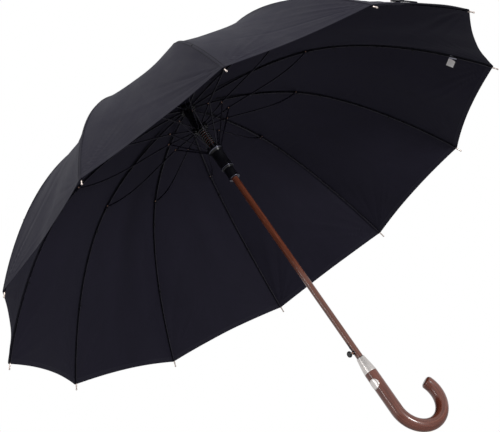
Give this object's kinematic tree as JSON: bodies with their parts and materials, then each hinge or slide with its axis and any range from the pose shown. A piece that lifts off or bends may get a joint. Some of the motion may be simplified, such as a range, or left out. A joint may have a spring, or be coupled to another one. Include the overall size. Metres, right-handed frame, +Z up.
{
  "type": "stick umbrella",
  "caption": "Open stick umbrella: a scalloped domed canopy on curved ribs, struts and two runners, with a slim shaft and a crook handle.",
  "frame": {"origin": "On the shaft axis, at the middle of the straight grip of the handle, where a hand holds it.", "axes": "+Z runs up the shaft to the ferrule, +X is the way the crook turns, +Y completes the frame."},
  "size_m": [1.0486, 1.0486, 0.8694],
  "materials": {
    "wood": "lacquered reddish brown hardwood",
    "shaft_film": "steel tube with a glossy wood-grain coating",
    "silver": "satin nickel-plated metal",
    "black_plastic": "semi-gloss black moulding",
    "black_steel": "black coated steel",
    "spring_steel": "blackened spring wire",
    "cloth": "very dark navy woven cloth"
  },
  "bodies": {
    "stick": {"shaft": "shaft_film", "crook_handle": "wood", "handle_collar": "silver", "handle_badge": "silver", "top_notch": "black_plastic", "ferrule": "black_plastic", "canopy": "cloth", "canopy_cap": "cloth"},
    "release_button": {"release_button": "black_plastic"},
    "upper_runner": {"upper_runner": "black_plastic", "opening_spring": "spring_steel"},
    "lower_runner": {"lower_runner": "black_plastic"},
    "rib_01": {"rib_01": "black_steel"},
    "rib_end_01": {"rib_end_01": "black_steel"},
    "strut_01": {"strut_01": "black_steel"},
    "link_01": {"link_01": "black_steel"},
    "rib_02": {"rib_02": "black_steel"},
    "rib_end_02": {"rib_end_02": "black_steel"},
    "strut_02": {"strut_02": "black_steel"},
    "link_02": {"link_02": "black_steel"},
    "rib_03": {"rib_03": "black_steel"},
    "rib_end_03": {"rib_end_03": "black_steel"},
    "strut_03": {"strut_03": "black_steel"},
    "link_03": {"link_03": "black_steel"},
    "rib_04": {"rib_04": "black_steel"},
    "rib_end_04": {"rib_end_04": "black_steel"},
    "strut_04": {"strut_04": "black_steel"},
    "link_04": {"link_04": "black_steel"},
    "rib_05": {"rib_05": "black_steel"},
    "rib_end_05": {"rib_end_05": "black_steel"},
    "strut_05": {"strut_05": "black_steel"},
    "link_05": {"link_05": "black_steel"},
    "rib_06": {"rib_06": "black_steel"},
    "rib_end_06": {"rib_end_06": "black_steel"},
    "strut_06": {"strut_06": "black_steel"},
    "link_06": {"link_06": "black_steel"},
    "rib_07": {"rib_07": "black_steel"},
    "rib_end_07": {"rib_end_07": "black_steel"},
    "strut_07": {"strut_07": "black_steel"},
    "link_07": {"link_07": "black_steel"},
    "rib_08": {"rib_08": "black_steel"},
    "rib_end_08": {"rib_end_08": "black_steel"},
    "strut_08": {"strut_08": "black_steel"},
    "link_08": {"link_08": "black_steel"},
    "rib_09": {"rib_09": "black_steel"},
    "rib_end_09": {"rib_end_09": "black_steel"},
    "strut_09": {"strut_09": "black_steel"},
    "link_09": {"link_09": "black_steel"},
    "rib_10": {"rib_10": "black_steel"},
    "rib_end_10": {"rib_end_10": "black_steel"},
    "strut_10": {"strut_10": "black_steel"},
    "link_10": {"link_10": "black_steel"},
    "rib_11": {"rib_11": "black_steel"},
    "rib_end_11": {"rib_end_11": "black_steel"},
    "strut_11": {"strut_11": "black_steel"},
    "link_11": {"link_11": "black_steel"},
    "rib_12": {"rib_12": "black_steel"},
    "rib_end_12": {"rib_end_12": "black_steel"},
    "strut_12": {"strut_12": "black_steel"},
    "link_12": {"link_12": "black_steel"}
  },
  "joints": [
    {"name": "button_press", "type": "slide", "parent": "stick", "child": "release_button", "axis": [1, 0, 0], "range_m": [0, 0.002], "stiffness_N_per_m": 400, "springref_m": -0.002},
    {"name": "rib_fold_01", "type": "hinge", "parent": "stick", "child": "rib_01", "pos_m": [0.013, 0, 0.648], "axis": [0, 1, 0], "range_deg": [0, 79.22], "deforming": ["canopy"]},
    {"name": "rib_fold_02", "type": "hinge", "parent": "stick", "child": "rib_02", "pos_m": [0.01126, 0.0065, 0.648], "axis": [-0.5, 0.866, 0], "range_deg": [0, 79.42]},
    {"name": "rib_fold_03", "type": "hinge", "parent": "stick", "child": "rib_03", "pos_m": [0.0065, 0.01126, 0.648], "axis": [-0.866, 0.5, 0], "range_deg": [0, 79.42]},
    {"name": "rib_fold_04", "type": "hinge", "parent": "stick", "child": "rib_04", "pos_m": [0, 0.013, 0.648], "axis": [-1, 0, 0], "range_deg": [0, 79.42]},
    {"name": "rib_fold_05", "type": "hinge", "parent": "stick", "child": "rib_05", "pos_m": [-0.0065, 0.01126, 0.648], "axis": [-0.866, -0.5, 0], "range_deg": [0, 79.42]},
    {"name": "rib_fold_06", "type": "hinge", "parent": "stick", "child": "rib_06", "pos_m": [-0.01126, 0.0065, 0.648], "axis": [-0.5, -0.866, 0], "range_deg": [0, 79.42]},
    {"name": "rib_fold_07", "type": "hinge", "parent": "stick", "child": "rib_07", "pos_m": [-0.013, 0, 0.648], "axis": [0, -1, 0], "range_deg": [0, 79.42]},
    {"name": "rib_fold_08", "type": "hinge", "parent": "stick", "child": "rib_08", "pos_m": [-0.01126, -0.0065, 0.648], "axis": [0.5, -0.866, 0], "range_deg": [0, 79.42]},
    {"name": "rib_fold_09", "type": "hinge", "parent": "stick", "child": "rib_09", "pos_m": [-0.0065, -0.01126, 0.648], "axis": [0.866, -0.5, 0], "range_deg": [0, 79.42]},
    {"name": "rib_fold_10", "type": "hinge", "parent": "stick", "child": "rib_10", "pos_m": [0, -0.013, 0.648], "axis": [1, 0, 0], "range_deg": [0, 79.42]},
    {"name": "rib_fold_11", "type": "hinge", "parent": "stick", "child": "rib_11", "pos_m": [0.0065, -0.01126, 0.648], "axis": [0.866, 0.5, 0], "range_deg": [0, 79.42]},
    {"name": "rib_fold_12", "type": "hinge", "parent": "stick", "child": "rib_12", "pos_m": [0.01126, -0.0065, 0.648], "axis": [0.5, 0.866, 0], "range_deg": [0, 79.42]},
    {"name": "rib_flex_01", "type": "hinge", "parent": "rib_01", "child": "rib_end_01", "pos_m": [0.25, 0, 0.624], "axis": [0, 1, 0], "range_deg": [-31.65, 0]},
    {"name": "strut_turn_01", "type": "hinge", "parent": "rib_01", "child": "strut_01", "pos_m": [0.25, 0, 0.624], "axis": [0, 1, 0], "range_deg": [-158.64, 0]},
    {"name": "rib_flex_02", "type": "hinge", "parent": "rib_02", "child": "rib_end_02", "pos_m": [0.21651, 0.125, 0.624], "axis": [-0.5, 0.866, 0], "range_deg": [-31.65, 0]},
    {"name": "strut_turn_02", "type": "hinge", "parent": "rib_02", "child": "strut_02", "pos_m": [0.21651, 0.125, 0.624], "axis": [-0.5, 0.866, 0], "range_deg": [-158.64, 0]},
    {"name": "rib_flex_03", "type": "hinge", "parent": "rib_03", "child": "rib_end_03", "pos_m": [0.125, 0.21651, 0.624], "axis": [-0.866, 0.5, 0], "range_deg": [-31.65, 0]},
    {"name": "strut_turn_03", "type": "hinge", "parent": "rib_03", "child": "strut_03", "pos_m": [0.125, 0.21651, 0.624], "axis": [-0.866, 0.5, 0], "range_deg": [-158.64, 0]},
    {"name": "rib_flex_04", "type": "hinge", "parent": "rib_04", "child": "rib_end_04", "pos_m": [0, 0.25, 0.624], "axis": [-1, 0, 0], "range_deg": [-31.65, 0]},
    {"name": "strut_turn_04", "type": "hinge", "parent": "rib_04", "child": "strut_04", "pos_m": [0, 0.25, 0.624], "axis": [-1, 0, 0], "range_deg": [-158.64, 0]},
    {"name": "rib_flex_05", "type": "hinge", "parent": "rib_05", "child": "rib_end_05", "pos_m": [-0.125, 0.21651, 0.624], "axis": [-0.866, -0.5, 0], "range_deg": [-31.65, 0]},
    {"name": "strut_turn_05", "type": "hinge", "parent": "rib_05", "child": "strut_05", "pos_m": [-0.125, 0.21651, 0.624], "axis": [-0.866, -0.5, 0], "range_deg": [-158.64, 0]},
    {"name": "rib_flex_06", "type": "hinge", "parent": "rib_06", "child": "rib_end_06", "pos_m": [-0.21651, 0.125, 0.624], "axis": [-0.5, -0.866, 0], "range_deg": [-31.65, 0]},
    {"name": "strut_turn_06", "type": "hinge", "parent": "rib_06", "child": "strut_06", "pos_m": [-0.21651, 0.125, 0.624], "axis": [-0.5, -0.866, 0], "range_deg": [-158.64, 0]},
    {"name": "rib_flex_07", "type": "hinge", "parent": "rib_07", "child": "rib_end_07", "pos_m": [-0.25, 0, 0.624], "axis": [0, -1, 0], "range_deg": [-31.65, 0]},
    {"name": "strut_turn_07", "type": "hinge", "parent": "rib_07", "child": "strut_07", "pos_m": [-0.25, 0, 0.624], "axis": [0, -1, 0], "range_deg": [-158.64, 0]},
    {"name": "rib_flex_08", "type": "hinge", "parent": "rib_08", "child": "rib_end_08", "pos_m": [-0.21651, -0.125, 0.624], "axis": [0.5, -0.866, 0], "range_deg": [-31.65, 0]},
    {"name": "strut_turn_08", "type": "hinge", "parent": "rib_08", "child": "strut_08", "pos_m": [-0.21651, -0.125, 0.624], "axis": [0.5, -0.866, 0], "range_deg": [-158.64, 0]},
    {"name": "rib_flex_09", "type": "hinge", "parent": "rib_09", "child": "rib_end_09", "pos_m": [-0.125, -0.21651, 0.624], "axis": [0.866, -0.5, 0], "range_deg": [-31.65, 0]},
    {"name": "strut_turn_09", "type": "hinge", "parent": "rib_09", "child": "strut_09", "pos_m": [-0.125, -0.21651, 0.624], "axis": [0.866, -0.5, 0], "range_deg": [-158.64, 0]},
    {"name": "rib_flex_10", "type": "hinge", "parent": "rib_10", "child": "rib_end_10", "pos_m": [0, -0.25, 0.624], "axis": [1, 0, 0], "range_deg": [-31.65, 0]},
    {"name": "strut_turn_10", "type": "hinge", "parent": "rib_10", "child": "strut_10", "pos_m": [0, -0.25, 0.624], "axis": [1, 0, 0], "range_deg": [-158.64, 0]},
    {"name": "rib_flex_11", "type": "hinge", "parent": "rib_11", "child": "rib_end_11", "pos_m": [0.125, -0.21651, 0.624], "axis": [0.866, 0.5, 0], "range_deg": [-31.65, 0]},
    {"name": "strut_turn_11", "type": "hinge", "parent": "rib_11", "child": "strut_11", "pos_m": [0.125, -0.21651, 0.624], "axis": [0.866, 0.5, 0], "range_deg": [-158.64, 0]},
    {"name": "rib_flex_12", "type": "hinge", "parent": "rib_12", "child": "rib_end_12", "pos_m": [0.21651, -0.125, 0.624], "axis": [0.5, 0.866, 0], "range_deg": [-31.65, 0]},
    {"name": "strut_turn_12", "type": "hinge", "parent": "rib_12", "child": "strut_12", "pos_m": [0.21651, -0.125, 0.624], "axis": [0.5, 0.866, 0], "range_deg": [-158.64, 0]},
    {"name": "upper_runner_travel", "type": "hinge", "parent": "strut_01", "child": "upper_runner", "pos_m": [0.013, 0, 0.6], "axis": [0, 1, 0], "range_deg": [0, 79.42]},
    {"name": "lower_runner_slide", "type": "slide", "parent": "upper_runner", "child": "lower_runner", "axis": [0, 0, 1], "range_m": [0, 0.02756], "deforming": ["opening_spring"]},
    {"name": "link_turn_01", "type": "hinge", "parent": "lower_runner", "child": "link_01", "pos_m": [0.013, 0, 0.547], "axis": [0, 1, 0], "range_deg": [-39.06, 0]},
    {"name": "link_turn_02", "type": "hinge", "parent": "lower_runner", "child": "link_02", "pos_m": [0.01126, 0.0065, 0.547], "axis": [-0.5, 0.866, 0], "range_deg": [-39.06, 0]},
    {"name": "link_turn_03", "type": "hinge", "parent": "lower_runner", "child": "link_03", "pos_m": [0.0065, 0.01126, 0.547], "axis": [-0.866, 0.5, 0], "range_deg": [-39.06, 0]},
    {"name": "link_turn_04", "type": "hinge", "parent": "lower_runner", "child": "link_04", "pos_m": [0, 0.013, 0.547], "axis": [-1, 0, 0], "range_deg": [-39.06, 0]},
    {"name": "link_turn_05", "type": "hinge", "parent": "lower_runner", "child": "link_05", "pos_m": [-0.0065, 0.01126, 0.547], "axis": [-0.866, -0.5, 0], "range_deg": [-39.06, 0]},
    {"name": "link_turn_06", "type": "hinge", "parent": "lower_runner", "child": "link_06", "pos_m": [-0.01126, 0.0065, 0.547], "axis": [-0.5, -0.866, 0], "range_deg": [-39.06, 0]},
    {"name": "link_turn_07", "type": "hinge", "parent": "lower_runner", "child": "link_07", "pos_m": [-0.013, 0, 0.547], "axis": [0, -1, 0], "range_deg": [-39.06, 0]},
    {"name": "link_turn_08", "type": "hinge", "parent": "lower_runner", "child": "link_08", "pos_m": [-0.01126, -0.0065, 0.547], "axis": [0.5, -0.866, 0], "range_deg": [-39.06, 0]},
    {"name": "link_turn_09", "type": "hinge", "parent": "lower_runner", "child": "link_09", "pos_m": [-0.0065, -0.01126, 0.547], "axis": [0.866, -0.5, 0], "range_deg": [-39.06, 0]},
    {"name": "link_turn_10", "type": "hinge", "parent": "lower_runner", "child": "link_10", "pos_m": [0, -0.013, 0.547], "axis": [1, 0, 0], "range_deg": [-39.06, 0]},
    {"name": "link_turn_11", "type": "hinge", "parent": "lower_runner", "child": "link_11", "pos_m": [0.0065, -0.01126, 0.547], "axis": [0.866, 0.5, 0], "range_deg": [-39.06, 0]},
    {"name": "link_turn_12", "type": "hinge", "parent": "lower_runner", "child": "link_12", "pos_m": [0.01126, -0.0065, 0.547], "axis": [0.5, 0.866, 0], "range_deg": [-39.06, 0]}
  ],
  "couplings": [
    {"joint": "rib_fold_02", "follows": "rib_fold_01", "ratio": 1},
    {"joint": "rib_fold_03", "follows": "rib_fold_01", "ratio": 1},
    {"joint": "rib_fold_04", "follows": "rib_fold_01", "ratio": 1},
    {"joint": "rib_fold_05", "follows": "rib_fold_01", "ratio": 1},
    {"joint": "rib_fold_06", "follows": "rib_fold_01", "ratio": 1},
    {"joint": "rib_fold_07", "follows": "rib_fold_01", "ratio": 1},
    {"joint": "rib_fold_08", "follows": "rib_fold_01", "ratio": 1},
    {"joint": "rib_fold_09", "follows": "rib_fold_01", "ratio": 1},
    {"joint": "rib_fold_10", "follows": "rib_fold_01", "ratio": 1},
    {"joint": "rib_fold_11", "follows": "rib_fold_01", "ratio": 1},
    {"joint": "rib_fold_12", "follows": "rib_fold_01", "ratio": 1},
    {"joint": "rib_flex_01", "follows": "rib_fold_01", "ratio": -0.39705},
    {"joint": "strut_turn_01", "follows": "rib_fold_01", "ratio": -2},
    {"joint": "rib_flex_02", "follows": "rib_fold_01", "ratio": -0.39705},
    {"joint": "strut_turn_02", "follows": "rib_fold_01", "ratio": -2},
    {"joint": "rib_flex_03", "follows": "rib_fold_01", "ratio": -0.39705},
    {"joint": "strut_turn_03", "follows": "rib_fold_01", "ratio": -2},
    {"joint": "rib_flex_04", "follows": "rib_fold_01", "ratio": -0.39705},
    {"joint": "strut_turn_04", "follows": "rib_fold_01", "ratio": -2},
    {"joint": "rib_flex_05", "follows": "rib_fold_01", "ratio": -0.39705},
    {"joint": "strut_turn_05", "follows": "rib_fold_01", "ratio": -2},
    {"joint": "rib_flex_06", "follows": "rib_fold_01", "ratio": -0.39705},
    {"joint": "strut_turn_06", "follows": "rib_fold_01", "ratio": -2},
    {"joint": "rib_flex_07", "follows": "rib_fold_01", "ratio": -0.39705},
    {"joint": "strut_turn_07", "follows": "rib_fold_01", "ratio": -2},
    {"joint": "rib_flex_08", "follows": "rib_fold_01", "ratio": -0.39705},
    {"joint": "strut_turn_08", "follows": "rib_fold_01", "ratio": -2},
    {"joint": "rib_flex_09", "follows": "rib_fold_01", "ratio": -0.39705},
    {"joint": "strut_turn_09", "follows": "rib_fold_01", "ratio": -2},
    {"joint": "rib_flex_10", "follows": "rib_fold_01", "ratio": -0.39705},
    {"joint": "strut_turn_10", "follows": "rib_fold_01", "ratio": -2},
    {"joint": "rib_flex_11", "follows": "rib_fold_01", "ratio": -0.39705},
    {"joint": "strut_turn_11", "follows": "rib_fold_01", "ratio": -2},
    {"joint": "rib_flex_12", "follows": "rib_fold_01", "ratio": -0.39705},
    {"joint": "strut_turn_12", "follows": "rib_fold_01", "ratio": -2},
    {"joint": "upper_runner_travel", "follows": "rib_fold_01", "ratio": 1},
    {"joint": "lower_runner_slide", "follows": "rib_fold_01", "m_per_rad": 0.019793},
    {"joint": "link_turn_01", "follows": "rib_fold_01", "ratio": -0.49061},
    {"joint": "link_turn_02", "follows": "rib_fold_01", "ratio": -0.49061},
    {"joint": "link_turn_03", "follows": "rib_fold_01", "ratio": -0.49061},
    {"joint": "link_turn_04", "follows": "rib_fold_01", "ratio": -0.49061},
    {"joint": "link_turn_05", "follows": "rib_fold_01", "ratio": -0.49061},
    {"joint": "link_turn_06", "follows": "rib_fold_01", "ratio": -0.49061},
    {"joint": "link_turn_07", "follows": "rib_fold_01", "ratio": -0.49061},
    {"joint": "link_turn_08", "follows": "rib_fold_01", "ratio": -0.49061},
    {"joint": "link_turn_09", "follows": "rib_fold_01", "ratio": -0.49061},
    {"joint": "link_turn_10", "follows": "rib_fold_01", "ratio": -0.49061},
    {"joint": "link_turn_11", "follows": "rib_fold_01", "ratio": -0.49061},
    {"joint": "link_turn_12", "follows": "rib_fold_01", "ratio": -0.49061}
  ]
}
